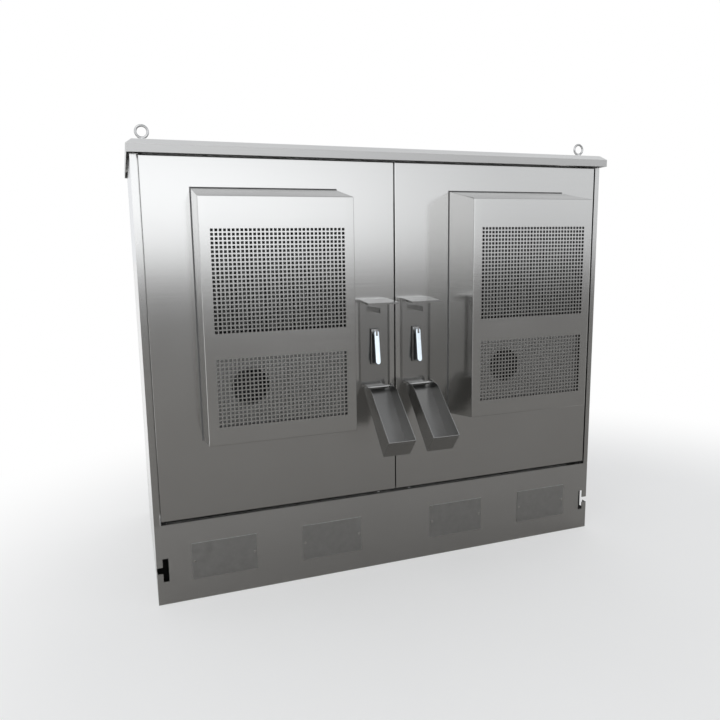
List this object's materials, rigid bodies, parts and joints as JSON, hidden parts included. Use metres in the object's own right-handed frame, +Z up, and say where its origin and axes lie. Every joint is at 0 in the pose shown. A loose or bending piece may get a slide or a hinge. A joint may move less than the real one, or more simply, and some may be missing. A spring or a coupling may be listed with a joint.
{
  "type": "roadside utility cabinet",
  "caption": "Stainless outdoor equipment cabinet on a plinth, with double doors, door-mounted air conditioners, locking handles under hinged covers and a bevelled roof.",
  "frame": {"origin": "on the ground at the centre of the four anchor holes in the plinth", "axes": "+Z up, -Y out of the doors, +X to the right as seen from the front"},
  "size_m": [1.66, 1.0747, 1.4966],
  "materials": {
    "steel": "brushed stainless sheet",
    "cover_steel": "dull stainless sheet",
    "zinc_steel": "zinc-plated sheet",
    "bright_steel": "bright turned steel",
    "screws": "stainless screws",
    "chrome": "polished",
    "fins": "dark fins",
    "black_plastic": "matt black",
    "rubber": "foam rubber",
    "copper": "plain copper bar"
  },
  "bodies": {
    "cabinet": {"plinth_front": "steel", "plinth_rear": "steel", "plinth_left": "steel", "plinth_right": "steel", "vent_cover_1": "cover_steel", "vent_cover_2": "cover_steel", "vent_cover_3": "cover_steel", "vent_cover_4": "cover_steel", "vent_cover_screws": "screws", "floor_plate": "steel", "cable_glands": "black_plastic", "left_side_panel": "steel", "right_side_panel": "steel", "rear_panel": "steel", "left_front_post": "steel", "right_front_post": "steel", "centre_post": "steel", "door_sill": "steel", "door_header": "steel", "ceiling_panel": "steel", "roof": "steel", "roof_spacers": "steel", "lifting_eyes": "bright_steel", "hinge_pins": "bright_steel", "door_gaskets": "rubber", "rack_rails": "zinc_steel", "equipment_shelf": "zinc_steel", "earth_bar": "copper"},
    "left_door": {"left_door_skin": "steel", "left_ac_hood": "steel", "left_ac_baffle": "zinc_steel", "left_condenser_coil": "fins", "left_evaporator_cover": "zinc_steel", "left_fan_frame": "black_plastic", "left_lock_box": "steel", "left_flap_pin": "bright_steel", "left_escutcheon": "black_plastic", "left_lock_case": "zinc_steel"},
    "left_fan": {"left_fan_rotor": "black_plastic"},
    "left_flap": {"left_lock_flap": "steel"},
    "left_turn": {"left_spindle": "bright_steel"},
    "left_grip": {"left_handle": "chrome"},
    "left_rod_up": {"left_upper_rod": "zinc_steel"},
    "left_rod_down": {"left_lower_rod": "zinc_steel"},
    "right_door": {"right_door_skin": "steel", "right_ac_hood": "steel", "right_ac_baffle": "zinc_steel", "right_condenser_coil": "fins", "right_evaporator_cover": "zinc_steel", "right_fan_frame": "black_plastic", "right_lock_box": "steel", "right_flap_pin": "bright_steel", "right_escutcheon": "black_plastic", "right_lock_case": "zinc_steel"},
    "right_fan": {"right_fan_rotor": "black_plastic"},
    "right_flap": {"right_lock_flap": "steel"},
    "right_turn": {"right_spindle": "bright_steel"},
    "right_grip": {"right_handle": "chrome"},
    "right_rod_up": {"right_upper_rod": "zinc_steel"},
    "right_rod_down": {"right_lower_rod": "zinc_steel"}
  },
  "joints": [
    {"name": "left_door_swing", "type": "hinge", "parent": "cabinet", "child": "left_door", "pos_m": [-0.79, -0.392, 0.84], "axis": [0, 0, -1], "range_deg": [0, 110]},
    {"name": "left_fan_spin", "type": "hinge", "parent": "left_door", "child": "left_fan", "pos_m": [-0.52675, -0.545, 0.728], "axis": [0, 1, 0], "continuous": true},
    {"name": "left_flap_fold", "type": "hinge", "parent": "left_door", "child": "left_flap", "pos_m": [-0.076, -0.437, 0.66], "axis": [1, 0, 0], "range_deg": [-130, 0]},
    {"name": "left_handle_turn", "type": "hinge", "parent": "left_door", "child": "left_turn", "pos_m": [-0.076, -0.405, 0.842], "axis": [0, 1, 0], "range_deg": [0, 90]},
    {"name": "left_handle_pull", "type": "hinge", "parent": "left_turn", "child": "left_grip", "pos_m": [-0.076, -0.422, 0.842], "axis": [-1, 0, 0], "range_deg": [-8, 20]},
    {"name": "left_upper_rod_slide", "type": "slide", "parent": "left_door", "child": "left_rod_up", "axis": [0, 0, 1], "range_m": [0, 0.018]},
    {"name": "left_lower_rod_slide", "type": "slide", "parent": "left_door", "child": "left_rod_down", "axis": [0, 0, -1], "range_m": [0, 0.018]},
    {"name": "right_door_swing", "type": "hinge", "parent": "cabinet", "child": "right_door", "pos_m": [0.79, -0.392, 0.84], "axis": [0, 0, 1], "range_deg": [0, 110]},
    {"name": "right_fan_spin", "type": "hinge", "parent": "right_door", "child": "right_fan", "pos_m": [0.33075, -0.545, 0.728], "axis": [0, 1, 0], "continuous": true},
    {"name": "right_flap_fold", "type": "hinge", "parent": "right_door", "child": "right_flap", "pos_m": [0.076, -0.437, 0.66], "axis": [1, 0, 0], "range_deg": [-130, 0]},
    {"name": "right_handle_turn", "type": "hinge", "parent": "right_door", "child": "right_turn", "pos_m": [0.076, -0.405, 0.842], "axis": [0, -1, 0], "range_deg": [0, 90]},
    {"name": "right_handle_pull", "type": "hinge", "parent": "right_turn", "child": "right_grip", "pos_m": [0.076, -0.422, 0.842], "axis": [-1, 0, 0], "range_deg": [-8, 20]},
    {"name": "right_upper_rod_slide", "type": "slide", "parent": "right_door", "child": "right_rod_up", "axis": [0, 0, 1], "range_m": [0, 0.018]},
    {"name": "right_lower_rod_slide", "type": "slide", "parent": "right_door", "child": "right_rod_down", "axis": [0, 0, -1], "range_m": [0, 0.018]}
  ],
  "couplings": [
    {"joint": "left_upper_rod_slide", "follows": "left_handle_turn", "m_per_rad": 0.01125},
    {"joint": "left_lower_rod_slide", "follows": "left_handle_turn", "m_per_rad": 0.01125},
    {"joint": "right_upper_rod_slide", "follows": "right_handle_turn", "m_per_rad": 0.01125},
    {"joint": "right_lower_rod_slide", "follows": "right_handle_turn", "m_per_rad": 0.01125}
  ]
}
